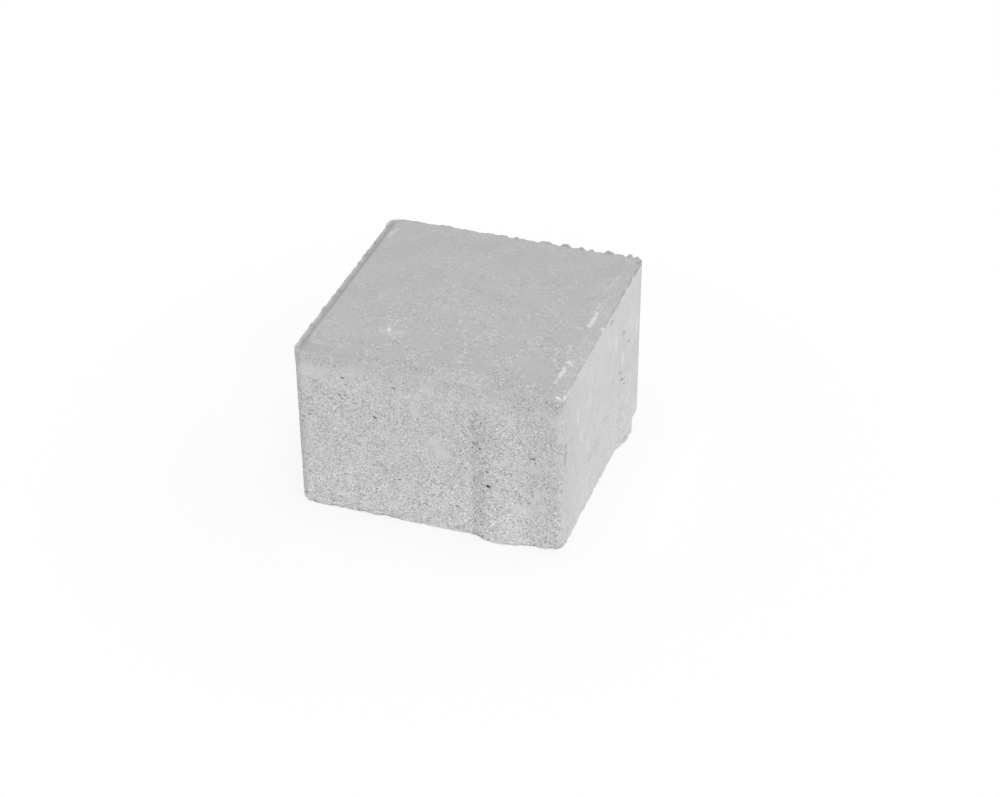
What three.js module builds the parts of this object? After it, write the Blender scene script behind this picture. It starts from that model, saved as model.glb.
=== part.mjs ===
// A square concrete paving stone with a spacer nib on each of its four sides.
//
// Millimetres, +Z up. The origin is the middle of the underside, and the
// wearing face is on top. The stone is pressed in one piece, so it is one
// solid: a loft through the plan outline that it has at each height.

import * as THREE from 'three';

// Body
const side = 105;             // from face to opposite face, without the nibs
const height = 70;            // from the underside to the wearing face
const cornerRadius = 5;       // of the four upright corners, in plan
const baseBevel = 0.6;        // the blunt arris round the underside

// Crown: a steep bevel lifts the wearing face off a narrow flat ledge
const ledgeWidth = 1.5;
const bevelWidth = 2.8;
const bevelDepth = 2.5;
const crownCornerRadius = 3;  // of the wearing face, in plan

// Spacer nibs: each side has one, in its right-hand half as seen from outside
const nibStandOff = 2.4;      // from the face of the stone to the crest
const nibCrest = 6;           // the flat part of the crest, along the side
const nibFlank = 9;           // each of the two slopes, along the side
const nibFromEnd = 24;        // from the end of the side to the middle of the nib
const nibTopDrop = 14;        // from the wearing face down to the nib's top end
const nibLeadIn = 7;          // height over which the crest leans out from the face

// Straight steps in each nib flank. An upright corner has twice as many.
const curveSteps = 6;

const sideCount = 4;

// Half a flank, where the two arms of its S-shaped curve meet
const flankBend = nibFlank / 2;

// One side of the outline and the corner that follows it, for the side that
// faces -Y. It runs towards +X, which is anticlockwise as seen from above.
function sidePoints({ inset, radius, standOff }) {
  const face = -(side / 2 - inset);
  const crest = face - standOff;
  const arcCentre = side / 2 - inset - radius;
  const nibMiddle = side / 2 - nibFromEnd;
  const crestStart = nibMiddle - nibCrest / 2;
  const crestEnd = nibMiddle + nibCrest / 2;
  const nibStart = crestStart - nibFlank;
  const nibEnd = crestEnd + nibFlank;

  const path = new THREE.Path();
  path.moveTo(-arcCentre, face);
  path.lineTo(nibStart, face);
  path.bezierCurveTo(nibStart + flankBend, face, crestStart - flankBend, crest, crestStart, crest);
  path.lineTo(crestEnd, crest);
  path.bezierCurveTo(crestEnd + flankBend, crest, nibEnd - flankBend, face, nibEnd, face);
  path.lineTo(arcCentre, face);
  path.absarc(arcCentre, -arcCentre, radius, -Math.PI / 2, 0);

  // The last point is the first one of the next side.
  return path.getPoints(curveSteps).slice(0, -1);
}

// The whole outline: the same side, turned round the stone four times
function outline(section) {
  const centre = new THREE.Vector2(0, 0);
  const points = [];
  for (let k = 0; k < sideCount; k++) {
    const turn = k * 2 * Math.PI / sideCount;
    for (const point of sidePoints(section)) {
      points.push(point.clone().rotateAround(centre, turn));
    }
  }
  return points;
}

// The triangles of a flat lid over one ring of the skin, which starts at the
// point numbered first: a fan over each side from the first point of the next
// side, and two triangles across the square that those four points leave
function lid(first, count) {
  const perSide = count / sideCount;
  const triangles = [];
  for (let k = 0; k < sideCount; k++) {
    const hub = first + ((k + 1) * perSide) % count;
    for (let i = 0; i < perSide - 1; i++) {
      const point = first + k * perSide + i;
      triangles.push([hub, point, point + 1]);
    }
  }
  const [a, b, c, d] = [0, 1, 2, 3].map((k) => first + k * perSide);
  triangles.push([a, b, c], [a, c, d]);
  return triangles;
}

// A closed skin through the outlines of the sections, from the lowest to the
// highest, with a lid at each end
function loft(sections) {
  const rings = sections.map((section) => outline(section));
  const count = rings[0].length;
  const topRing = (rings.length - 1) * count;
  const positions = [];
  const indices = [];

  rings.forEach((ring, level) => {
    for (const point of ring) {
      positions.push(point.x, point.y, sections[level].z);
    }
  });

  for (let low = 0; low < topRing; low += count) {
    const high = low + count;
    for (let i = 0; i < count; i++) {
      const next = (i + 1) % count;
      indices.push(low + i, low + next, high + next);
      indices.push(low + i, high + next, high + i);
    }
  }
  for (const [a, b, c] of lid(0, count)) {
    indices.push(c, b, a);
  }
  for (const [a, b, c] of lid(topRing, count)) {
    indices.push(a, b, c);
  }

  const geometry = new THREE.BufferGeometry();
  geometry.setAttribute('position', new THREE.Float32BufferAttribute(positions, 3));
  geometry.setIndex(indices);
  geometry.computeVertexNormals();
  return geometry;
}

// The heights at which the outline changes, from the underside up
function stoneSections() {
  const nibTop = height - nibTopDrop;
  const ledge = height - bevelDepth;
  const body = { inset: 0, radius: cornerRadius };
  const nibbed = { ...body, standOff: nibStandOff };
  const plain = { ...body, standOff: 0 };
  const crown = { radius: crownCornerRadius, standOff: 0 };

  return [
    { ...nibbed, z: 0, inset: baseBevel, radius: cornerRadius - baseBevel },
    { ...nibbed, z: baseBevel },
    { ...nibbed, z: nibTop - nibLeadIn },
    { ...plain, z: nibTop },
    { ...plain, z: ledge },
    { ...crown, z: ledge, inset: ledgeWidth },
    { ...crown, z: height, inset: ledgeWidth + bevelWidth },
  ];
}

const concrete = new THREE.MeshStandardMaterial({
  color: 0xbcbcbb,
  roughness: 0.94,
  metalness: 0,
});

const stone = new THREE.Mesh(loft(stoneSections()), concrete);
stone.name = 'paving_stone';

const part = new THREE.Group();
part.add(stone);

export default part;
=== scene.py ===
"""A square concrete paving stone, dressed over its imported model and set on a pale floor.

One dense mesh stands for the solid stone. It is made of courses, closed lines of
points that run round the stone from the underside to the wearing face, and of a grid
that closes each end. The sandy skin is pushed in from the true faces, never out, so
the stone keeps its real size.
"""

import math
from dataclasses import dataclass
from types import SimpleNamespace

import bpy
from mathutils import Matrix, Vector, noise


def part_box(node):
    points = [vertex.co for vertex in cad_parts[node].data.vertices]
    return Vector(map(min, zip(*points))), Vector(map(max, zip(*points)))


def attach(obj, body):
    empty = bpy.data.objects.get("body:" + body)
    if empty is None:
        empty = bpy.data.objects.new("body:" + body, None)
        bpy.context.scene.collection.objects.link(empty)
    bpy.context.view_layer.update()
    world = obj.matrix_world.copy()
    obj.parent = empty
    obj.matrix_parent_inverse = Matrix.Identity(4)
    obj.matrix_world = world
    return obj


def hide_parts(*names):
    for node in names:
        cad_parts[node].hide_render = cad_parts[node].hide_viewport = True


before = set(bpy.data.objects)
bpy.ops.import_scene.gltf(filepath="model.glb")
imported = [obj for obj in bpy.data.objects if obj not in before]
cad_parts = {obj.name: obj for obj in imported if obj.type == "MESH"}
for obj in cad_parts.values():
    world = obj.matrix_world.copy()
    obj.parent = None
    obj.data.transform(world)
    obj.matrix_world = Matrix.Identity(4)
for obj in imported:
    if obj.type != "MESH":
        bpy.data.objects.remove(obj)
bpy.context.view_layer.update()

MM = 0.001

# ---- Sizes of the stone ----

STONE_LOW, STONE_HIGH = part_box("paving_stone")

HEIGHT = STONE_HIGH.z - STONE_LOW.z
NIB_STAND_OFF = 2.4 * MM
HALF_SIDE = STONE_HIGH.x - NIB_STAND_OFF  # from the middle to a face, without the nib

# Upright corners, in plan: they are a little blunter at the foot
CORNER_RADIUS_TOP = 4.6 * MM
CORNER_RADIUS_FOOT = 5.6 * MM
SHARP_CORNER = 0.4  # share of those radii that the front right corner has
BASE_ARRIS = 0.6 * MM

# Crown: a ledge, then a steep bevel up to the wearing face
LEDGE_WIDTH = 1.5 * MM
BEVEL_WIDTH = 2.8 * MM
BEVEL_DEPTH = 2.5 * MM
STRAIGHT_BEVEL = 0.93  # share of the bevel below its worn arris
CROWN_CORNER_RADIUS = 3.0 * MM
CROWN_ARRIS = 0.5 * MM  # how far the worn arris reaches in over the wearing face
ARRIS_COURSE = 0.1 * MM  # how far in its one course between bevel and face lies
ARRIS_DROP = 0.03 * MM  # and how far below the wearing face
ARRIS_TILT = 1.3  # radians
LEDGE_HEIGHT = HEIGHT - BEVEL_DEPTH
BURR_FOOT = LEDGE_HEIGHT - 1.0 * MM  # where the straight part of a side ends

# Spacer nib, in the right-hand half of each side as seen from outside
NIB_CREST = 6.0 * MM
NIB_FLANK = 9.0 * MM
NIB_MIDDLE = HALF_SIDE - 24.0 * MM
NIB_TOP = HEIGHT - 14.0 * MM
NIB_LEAD_IN = 7.0 * MM
FLANK_CURVE = 1.3  # above 1 for flanks that are steepest at their feet
FLANK_FOOT = 1.2 * MM  # how far the worn foot of a flank lies inside its true end

# How finely the mesh is divided
COLUMNS = 176  # of faces, on each side
ARC_COLUMNS = 6  # of those, in each half of an upright corner
LID_COLUMNS = COLUMNS // 2  # of the grids that close the two ends
BASE_ROWS = 3  # round the base arris
SIDE_ROWS = 90
BEVEL_ROWS = 5

SIDES = ("front", "right", "back", "left")


def smooth_step(low, high, value):
    """0 below low, 1 above high, and an even S-curve between them."""
    t = min(max((value - low) / (high - low), 0.0), 1.0)
    return t * t * t * (t * (6.0 * t - 15.0) + 10.0)


def between(start, end, share):
    return start + (end - start) * share


def unevenness(point, spacing, octaves):
    """Noise from about -1 to 1, with ups and downs that far apart and finer ones."""
    return noise.fractal(point / spacing, 1.0, 2.0, octaves)


# ---- Fin: the thin ragged burr that the press leaves along the outer rim of the ledge ----


@dataclass
class Fin:
    """The burr on one side: its height above the ledge, and how much that wanders."""

    height: float
    wander: float


FINS = {
    "front": Fin(0.00 * MM, 0.10 * MM),
    "right": Fin(0.00 * MM, 0.10 * MM),
    "back": Fin(0.15 * MM, 0.30 * MM),
    "left": Fin(0.32 * MM, 0.28 * MM),
}
FIN_GRAIN = 4.0 * MM  # how far apart its ups and downs are
CRUMB_TOP = 0.3  # share of a crumb's half width over which it keeps its full height
CRUMB_WANDER = 0.7  # how much of the fin's unevenness shows in its crumbs

# Crumbs and ridges that stand up from the fin, in millimetres: place along the side from
# its middle towards its right-hand end as seen from outside, height above the ledge, and
# half width
CRUMBS = {
    "front": (),
    "right": (
        (50.6, 0.8, 2.4),
        (44.0, 0.4, 3.0),
        (36.0, 0.35, 3.0),
        (25.0, 0.3, 4.0),
        (12.0, 0.2, 4.0),
    ),
    "back": (
        (29.5, 0.6, 4.2),
        (23.0, 0.35, 2.0),
        (11.0, 0.4, 2.5),
        (5.5, 0.6, 2.8),
        (0.0, 1.0, 1.5),
        (-12.0, 0.8, 4.0),
        (-20.3, 1.5, 2.6),
        (-27.0, 0.8, 2.0),
        (-31.0, 0.7, 1.5),
        (-38.4, 1.6, 2.8),
        (-42.5, 0.9, 2.4),
        (-46.5, 1.8, 1.6),
        (-50.6, 0.9, 2.8),
    ),
    "left": (
        (33.8, 0.75, 2.4),
        (21.2, 0.85, 2.8),
        (12.2, 0.85, 2.0),
        (7.4, 0.80, 2.0),
        (-1.6, 0.55, 3.8),
        (-7.5, 0.60, 1.6),
        (-10.6, 0.60, 1.6),
        (-13.8, 0.65, 1.9),
        (-21.6, 0.80, 5.2),
        (-32.6, 0.80, 5.6),
        (-46.5, 0.90, 5.0),
    ),
}


def fin_height(side, along, point):
    """Height of the burr above the ledge at one column."""
    fin = FINS[side]
    rough = unevenness(point, FIN_GRAIN, 2)
    height = fin.height + fin.wander * rough
    for place, crumb_height, half_width in CRUMBS[side]:
        reach = abs(along - place * MM) / (half_width * MM)
        crumb = crumb_height * MM * (1.0 - smooth_step(CRUMB_TOP, 1.0, reach))
        height = max(height, crumb * (1.0 + CRUMB_WANDER * rough))
    return max(height, 0.0)


# ---- Relief: how far the skin lies inside the true face ----

# The sand: broad lumps of the mix, and the gaps between its grains
LUMP_SPACING = 5.0 * MM
LUMP_DEPTH = 0.16 * MM
SAND_SPACING = 2.0 * MM
SAND_DEPTH = 0.22 * MM

# Where the sand is closer, and the share of its relief that is left there
PRESSED_BAND = 13.0 * MM  # below the top, where the sides get as close as the crown
PRESSED_CORE = 0.3  # share of that band, from the top down, that is fully pressed
PRESSED_OPENNESS = 0.35
RUBBED_BAND = 4.0 * MM  # inside the right-hand face, over which the rubbing fades in
RUBBED_OPENNESS = 0.5

# The crown and the underside are pressed smoother
CROWN_LUMP_SPACING = 7.0 * MM
CROWN_LUMP_DEPTH = 0.06 * MM
UNDERSIDE_OPENNESS = 0.6

# Small breaks along the two edges: their spacing, how deep they go, and how far those at
# the foot reach up the side
NICK_SPACING = 3.0 * MM
FOOT_NICK = 1.6 * MM
FOOT_BREAKS = 1.8 * MM
RIM_NICK = 1.0 * MM
NEAR_RIM_BREAKS = 0.2  # share of RIM_NICK along the front and near half of the right side
LEFT_RIM_BREAKS = 0.3  # share of the rest along the left side
FAR_RIM_START = 5.0 * MM  # along Y, where the rim starts to break more
FAR_RIM_FULL = 15.0 * MM
LEFT_RIM_START = 3.5 * MM  # from the left face, where the left side's share starts
LEFT_RIM_FULL = 0.5 * MM

HOLLOW_FLATNESS = 1.3  # how much wider than high the hollows are

# Hollows on the sides, in millimetres: place along the side, height, radius and depth
HOLLOWS = {
    "front": (
        (24.8, 25.5, 1.6, 0.65),
        (18.4, 42.5, 1.1, 0.42),
        (21.4, 41.0, 1.1, 0.52),
        (24.5, 32.0, 1.1, 0.52),
        (41.3, 40.1, 1.3, 0.45),
        (-20.0, 45.0, 1.3, 0.45),
        (-32.1, 60.1, 1.2, 0.45),
        (-34.1, 52.6, 1.1, 0.35),
        (-12.4, 59.5, 1.2, 0.45),
        (-11.1, 19.0, 1.1, 0.50),
        (11.7, 12.0, 1.2, 0.50),
        (4.6, 38.5, 1.2, 0.40),
        (-49.0, 39.4, 1.2, 0.40),
        (-28.0, 49.6, 1.1, 0.40),
        (-28.0, 1.2, 1.3, 0.70),
    ),
    "right": (
        (20.7, 31.7, 1.0, 0.80),
        (8.2, 64.9, 1.0, 0.60),
    ),
}


@dataclass
class Chip:
    """A corner or edge that is knocked off along a plane: a point on the plane, the
    way it faces, and the radius within which it cuts."""

    place: Vector
    facing: Vector
    reach: float


CHIPS = (
    # Foot of the front left corner
    Chip(Vector((-50.4, -50.4, 0.7)) * MM, Vector((-0.55, -0.55, -0.63)), 6.0 * MM),
    # Foot of the front right corner
    Chip(Vector((50.3, -50.3, 1.4)) * MM, Vector((0.45, -0.65, -0.60)), 9.0 * MM),
    # Foot of the front nib
    Chip(Vector((33.2, -54.0, 0.6)) * MM, Vector((0.25, -0.85, -0.46)), 2.6 * MM),
)
CHIP_ROUGHNESS = 0.35 * MM
CHIP_GRAIN = 1.6 * MM


def side_frame(side):
    """The way that a side faces, and the way that runs along it to its right end."""
    turn = SIDES.index(side) * math.pi / 2
    facing = Vector((math.sin(turn), -math.cos(turn), 0.0))
    along = Vector((math.cos(turn), math.sin(turn), 0.0))
    return facing, along


def hollow_centres():
    """Each hollow as its centre on the true face, its radius and its depth."""
    centres = []
    for side, hollows in HOLLOWS.items():
        facing, along = side_frame(side)
        for place, height, radius, depth in hollows:
            x, z = place * MM, height * MM
            stand_off = HALF_SIDE + NIB_STAND_OFF * nib_across(x) * nib_up(z)
            centre = facing * stand_off + along * x + Vector((0.0, 0.0, z))
            centres.append((centre, radius * MM, depth * MM))
    return centres


def sand_relief(point, openness):
    """Depth of the gaps between sand grains at the surface of the mix."""
    lumps = 0.5 - 0.5 * unevenness(point, LUMP_SPACING, 3)
    nearest = noise.voronoi(point / SAND_SPACING)[0][0]
    return openness * (LUMP_DEPTH * lumps + SAND_DEPTH * nearest)


def crown_relief(point):
    """Depth of the skin of the wearing face and of its bevel, which are pressed smooth."""
    return CROWN_LUMP_DEPTH * (0.5 - 0.5 * unevenness(point, CROWN_LUMP_SPACING, 4))


def underside_relief(point):
    """Depth of the skin of the underside, which lay on the pallet."""
    return UNDERSIDE_OPENNESS * sand_relief(point, 1.0)


def crumble(point):
    """How far the small breaks along the edges reach here, from 0 to about 0.5."""
    return max(0.0, unevenness(point, NICK_SPACING, 2))


def rim_break(point):
    """Depth of the small breaks in the rim. They are fewest along the front and along the
    near half of the right-hand side."""
    far_half = smooth_step(FAR_RIM_START, FAR_RIM_FULL, point.y)
    left_side = smooth_step(LEFT_RIM_START - HALF_SIDE, LEFT_RIM_FULL - HALF_SIDE, point.x)
    share = max(far_half * (1.0 - left_side), LEFT_RIM_BREAKS * left_side)
    return RIM_NICK * between(NEAR_RIM_BREAKS, 1.0, share) * crumble(point)


def side_relief(point, hollows):
    """Depth of the skin of a side. It is closest just under the rim, and on the
    right-hand side, where the mould has rubbed it."""
    pressed = smooth_step(HEIGHT - PRESSED_BAND, HEIGHT - PRESSED_CORE * PRESSED_BAND, point.z)
    rubbed = smooth_step(HALF_SIDE - RUBBED_BAND, HALF_SIDE, point.x)
    openness = between(1.0, PRESSED_OPENNESS, pressed) * between(1.0, RUBBED_OPENNESS, rubbed)
    depth = sand_relief(point, openness)
    depth += FOOT_NICK * crumble(point) * (1.0 - smooth_step(0.0, FOOT_BREAKS, point.z))
    for centre, radius, most in hollows:
        away = point - centre
        away.z *= HOLLOW_FLATNESS
        reach = away.length / radius
        if reach < 1.0:
            depth += most * (1.0 - reach * reach) ** 2
    return depth


def knock_off_chips(point):
    """The point itself, or where a chip's plane cuts it off."""
    for chip in CHIPS:
        facing = chip.facing.normalized()
        if (point - chip.place).length > chip.reach:
            continue
        rough = CHIP_ROUGHNESS * noise.noise(point / CHIP_GRAIN)
        proud = (point - chip.place).dot(facing) - rough
        if proud > 0.0:
            point = point - facing * proud
    return point


# ---- Courses ----


def nib_across(along):
    """The nib's profile in plan: 1 on its crest and 0 past its flanks, which rise from
    the face at a crease and ease off towards the crest."""
    past_crest = abs(along - NIB_MIDDLE) - NIB_CREST / 2
    down_flank = min(max(past_crest / (NIB_FLANK - FLANK_FOOT), 0.0), 1.0)
    return 1.0 - down_flank ** FLANK_CURVE


def nib_up(height):
    """The nib's profile in elevation: 1 up to its lead-in and 0 above its top."""
    return 1.0 - smooth_step(NIB_TOP - NIB_LEAD_IN, NIB_TOP, height)


@dataclass
class Course:
    """One closed line of points round the stone.

    inset is how far it lies inside the faces, radius is its corner radius, and tilt
    turns its outward direction up from level, in radians. fin_share is its share of the
    burr's height, and break_share its share of the breaks in the rim.
    """

    height: float
    inset: float = 0.0
    radius: float = CORNER_RADIUS_TOP
    tilt: float = 0.0
    fin_share: float = 0.0
    break_share: float = 0.0


def plan_point(side, column, inset, radius):
    """A point of a course's plan outline: its place, outward direction and distance
    along the side from the side's middle."""
    facing, run = side_frame(side)
    face = HALF_SIDE - inset
    left_radius = radius * (SHARP_CORNER if side == "right" else 1.0)
    right_radius = radius * (SHARP_CORNER if side == "front" else 1.0)
    straight = COLUMNS - 2 * ARC_COLUMNS
    if column < ARC_COLUMNS:
        bend, centre_along = left_radius, left_radius - face
        angle = -math.pi / 4 * (1.0 - column / ARC_COLUMNS)
    elif column <= COLUMNS - ARC_COLUMNS:
        share = (column - ARC_COLUMNS) / straight
        bend, centre_along = 0.0, between(left_radius - face, face - right_radius, share)
        angle = 0.0
    else:
        bend, centre_along = right_radius, face - right_radius
        angle = math.pi / 4 * (column - COLUMNS + ARC_COLUMNS) / ARC_COLUMNS
    outward = facing * math.cos(angle) + run * math.sin(angle)
    point = facing * (face - bend) + run * centre_along + outward * bend
    return point, outward, point.dot(run)


def course_points(course, hollows):
    """The points of one course, and how deep the skin lies at each, in millimetres."""
    points = []
    depths = []
    up = Vector((0.0, 0.0, 1.0))
    on_crown = course.tilt > 0.0
    for side in SIDES:
        facing, _ = side_frame(side)
        for column in range(COLUMNS):
            point, outward, along = plan_point(side, column, course.inset, course.radius)
            rim_place = plan_point(side, column, 0.0, CORNER_RADIUS_TOP)[0]
            burr = fin_height(side, along, rim_place) if course.fin_share else 0.0
            point.z = course.height + course.fin_share * burr
            point += facing * NIB_STAND_OFF * nib_across(along) * nib_up(point.z)
            if course.break_share:
                point -= outward * course.break_share * rim_break(rim_place)
            normal = outward * math.cos(course.tilt) + up * math.sin(course.tilt)
            depth = crown_relief(point) if on_crown else side_relief(point, hollows)
            points.append(knock_off_chips(point - normal * depth))
            depths.append(depth / MM)
    return points, depths


def corner_radius(height):
    return between(CORNER_RADIUS_FOOT, CORNER_RADIUS_TOP, height / LEDGE_HEIGHT)


def base_courses():
    """The blunt arris round the underside."""
    courses = []
    for row in range(BASE_ROWS):
        turn = math.pi / 2 * row / BASE_ROWS
        inset = BASE_ARRIS * (1.0 - math.sin(turn))
        height = BASE_ARRIS * (1.0 - math.cos(turn))
        courses.append(Course(height, inset, CORNER_RADIUS_FOOT - inset, turn - math.pi / 2))
    return courses


def side_courses():
    """The upright face, from the base arris up to the foot of the burr."""
    courses = []
    for row in range(SIDE_ROWS + 1):
        height = between(BASE_ARRIS, BURR_FOOT, row / SIDE_ROWS)
        courses.append(Course(height, radius=corner_radius(height)))
    return courses


def rim_course(inset, tilt, fin_share, break_share):
    """A course of the ledge, whose corners get tighter towards those of the crown."""
    radius = between(CORNER_RADIUS_TOP, CROWN_CORNER_RADIUS, inset / LEDGE_WIDTH)
    return Course(LEDGE_HEIGHT, inset, radius, tilt, fin_share, break_share)


def rim_courses():
    """The outer face of the burr, its ragged top and its inner slope."""
    outer = [
        Course(LEDGE_HEIGHT - 0.60 * MM, fin_share=0.30, break_share=0.3),
        Course(LEDGE_HEIGHT - 0.20 * MM, fin_share=0.70, break_share=0.7),
        Course(LEDGE_HEIGHT, inset=0.06 * MM, fin_share=0.94, break_share=1.0),
    ]
    inner = [
        rim_course(0.30 * MM, tilt=1.2, fin_share=1.00, break_share=1.0),
        rim_course(0.60 * MM, tilt=1.3, fin_share=0.75, break_share=0.8),
        rim_course(0.95 * MM, tilt=1.4, fin_share=0.38, break_share=0.5),
        rim_course(1.30 * MM, tilt=1.5, fin_share=0.08, break_share=0.1),
    ]
    return outer, inner


def crown_course(height, inset, tilt):
    return Course(height, inset, CROWN_CORNER_RADIUS, tilt)


def crown_courses():
    """The inner edge of the ledge, the bevel and the worn arris of the wearing face."""
    bevel_tilt = math.atan2(BEVEL_WIDTH, BEVEL_DEPTH)
    courses = []
    for row in range(BEVEL_ROWS + 1):
        share = STRAIGHT_BEVEL * row / BEVEL_ROWS
        height = LEDGE_HEIGHT + BEVEL_DEPTH * share
        courses.append(crown_course(height, LEDGE_WIDTH + BEVEL_WIDTH * share, bevel_tilt))
    inset = LEDGE_WIDTH + BEVEL_WIDTH
    courses.append(crown_course(HEIGHT - ARRIS_DROP, inset + ARRIS_COURSE, ARRIS_TILT))
    courses.append(crown_course(HEIGHT, inset + CROWN_ARRIS, math.pi / 2))
    return courses


# ---- Marks that the mesh carries ----

# A mark is its start, its end, each along the side and up it, and its half width, all in
# millimetres.

# Places on the front where paste has closed the sand
PASTE_SMEARS = (
    ((-46.5, 61.0), (-43.0, 61.0), 2.4),
    ((-41.0, 61.5), (-39.0, 62.0), 1.4),
    ((-28.0, 64.3), (-25.0, 64.6), 1.9),
    ((-4.8, 51.0), (-3.8, 51.0), 1.6),
    ((3.5, 38.5), (6.0, 34.5), 2.6),
    ((26.5, 23.6), (28.5, 22.8), 1.3),
    ((40.5, 35.5), (42.5, 35.0), 1.9),
    ((42.8, 24.5), (43.8, 24.0), 1.7),
    ((36.0, 17.5), (40.0, 16.5), 1.8),
    ((-0.5, 62.5), (2.0, 62.0), 1.4),
)

# Light streaks down the right-hand side, where the mould has rubbed it
RUB_STREAKS = (
    ((14.9, 53.3), (15.3, 48.1), 0.9),
    ((20.4, 43.2), (20.6, 39.8), 0.8),
    ((27.8, 30.3), (28.1, 27.4), 0.8),
    ((26.2, 26.2), (26.6, 22.2), 0.8),
    ((37.4, 47.2), (37.9, 40.9), 1.2),
    ((44.9, 44.9), (42.9, 40.1), 1.1),
    ((6.0, 58.5), (6.3, 53.9), 0.9),
    ((-18.1, 49.8), (-17.8, 44.3), 1.0),
    ((-32.9, 50.4), (-32.8, 46.8), 0.9),
    ((-29.3, 39.6), (-29.1, 35.9), 0.9),
    ((-20.5, 31.6), (-20.2, 25.5), 0.9),
    ((38.4, 7.9), (37.5, 2.2), 1.2),
)

# Dark specks on the right-hand side
RUB_SPECKS = (
    ((21.6, 52.2), (23.0, 52.2), 0.60),
    ((23.8, 47.6), (25.2, 47.6), 0.55),
    ((29.0, 40.4), (30.4, 40.4), 0.60),
    ((25.7, 36.0), (27.1, 36.0), 0.55),
    ((18.5, 35.5), (19.9, 35.5), 0.60),
    ((19.9, 18.5), (21.3, 18.5), 0.55),
    ((22.9, 2.8), (24.3, 2.8), 0.70),
    ((10.5, 35.6), (11.9, 35.6), 0.50),
    ((-9.2, 59.4), (-7.8, 59.4), 0.55),
    ((-8.8, 36.1), (-7.4, 36.1), 0.50),
    ((-49.2, 45.3), (-47.0, 45.3), 0.80),
    ((-48.8, 42.1), (-47.2, 42.1), 0.80),
    ((-50.0, 40.4), (-48.2, 40.4), 0.70),
    ((-49.2, 38.2), (-47.6, 38.2), 0.80),
    ((-43.4, 44.4), (-40.8, 44.6), 0.55),
)

# Faint smudges there
RUB_SMUDGES = (
    ((6.5, 65.2), (9.9, 64.8), 1.20),
    ((2.4, 24.2), (5.8, 23.2), 1.30),
    ((-10.4, 22.4), (-5.8, 18.2), 2.20),
    ((-19.0, 20.4), (-15.8, 20.0), 1.10),
    ((-48.5, 44.5), (-48.6, 38.0), 1.40),
)

LAID_MARKS = {
    "paste": ("front", PASTE_SMEARS),
    "rub_streak": ("right", RUB_STREAKS),
    "rub_speck": ("right", RUB_SPECKS),
    "rub_smudge": ("right", RUB_SMUDGES),
}
MARK_BAND = 1.5 * MM  # how far inside the true face the skin of a marked side reaches


# ---- Mesh ----

UNDERSIDE, MOULD_SIDE, WEARING_FACE = range(3)


class Skin:
    """The vertices and faces of the stone as they are laid down."""

    def __init__(self):
        self.points = []
        self.depths = []
        self.faces = []
        self.finishes = []

    def lay(self, points, depths):
        """Adds points and gives their numbers."""
        first = len(self.points)
        self.points += points
        self.depths += depths
        return list(range(first, len(self.points)))

    def face(self, corners, finish):
        self.faces.append(corners)
        self.finishes.append(finish)

    def band(self, low, high, finish):
        """A closed band of faces between two courses."""
        count = len(low)
        for i in range(count):
            after = (i + 1) % count
            self.face((low[i], low[after], high[after], high[i]), finish)

    def lid(self, ring, relief, facing_up, finish):
        """Closes one end with a grid that has half as many columns as the last course.
        The course's points between the grid's go into the outer faces."""
        grid = lid_grid(self, ring[::2], relief, facing_up)
        after = ring[2:] + ring[:2]
        middles = {(ring[i], after[i]): ring[i + 1] for i in range(0, len(ring), 2)}
        for low, high in zip(grid, grid[1:]):
            for i in range(LID_COLUMNS):
                corners = [low[i], low[i + 1], high[i + 1], high[i]]
                outline = []
                for start, end in zip(corners, corners[1:] + corners[:1]):
                    outline.append(start)
                    if (start, end) in middles:
                        outline.append(middles[start, end])
                self.face(outline if facing_up else outline[::-1], finish)


def lid_grid(skin, ring, relief, facing_up):
    """Rows of vertex numbers, blended between the four sides of the ring."""
    n = LID_COLUMNS
    count = 4 * n
    front = ring[: n + 1]
    right = ring[n : 2 * n + 1]
    back = ring[2 * n : 3 * n + 1][::-1]
    left = [ring[(count - j) % count] for j in range(n + 1)]
    place = skin.points
    grid = [front]
    for j in range(1, n):
        v = j / n
        inner = []
        depths = []
        for i in range(1, n):
            u = i / n
            across = place[left[j]].lerp(place[right[j]], u)
            upward = place[front[i]].lerp(place[back[i]], v)
            near = place[front[0]].lerp(place[front[n]], u)
            far = place[back[0]].lerp(place[back[n]], u)
            point = across + upward - near.lerp(far, v)
            depth = relief(point)
            point.z = HEIGHT - depth if facing_up else depth
            inner.append(point)
            depths.append(depth / MM)
        grid.append([left[j], *skin.lay(inner, depths), right[j]])
    grid.append(back)
    return grid


def stone_mesh(skin):
    """The laid skin as one mesh, with its depth and its marks stored on it."""
    mesh = bpy.data.meshes.new("stone_skin")
    mesh.from_pydata([keep_in_box(point) for point in skin.points], [], skin.faces)
    mesh.polygons.foreach_set("material_index", skin.finishes)
    mesh.polygons.foreach_set("use_smooth", [True] * len(skin.faces))
    store(mesh, "depth", skin.depths)
    mesh.validate()
    mesh.update()
    for name, (side, marks) in LAID_MARKS.items():
        store(mesh, name, laid_covers(mesh, side, marks))
    return mesh


def make_stone():
    """The whole stone as one closed mesh."""
    skin = Skin()
    hollows = hollow_centres()
    rim_outer, rim_inner = rim_courses()
    lower = base_courses() + side_courses() + rim_outer
    upper = rim_inner + crown_courses()

    rings = [skin.lay(*course_points(course, hollows)) for course in lower + upper]
    for number, (low, high) in enumerate(zip(rings, rings[1:])):
        on_side = number < len(lower) - 1
        skin.band(low, high, MOULD_SIDE if on_side else WEARING_FACE)
    skin.lid(rings[0], underside_relief, False, UNDERSIDE)
    skin.lid(rings[-1], crown_relief, True, WEARING_FACE)
    return link_object("pressed_stone", stone_mesh(skin))


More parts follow.
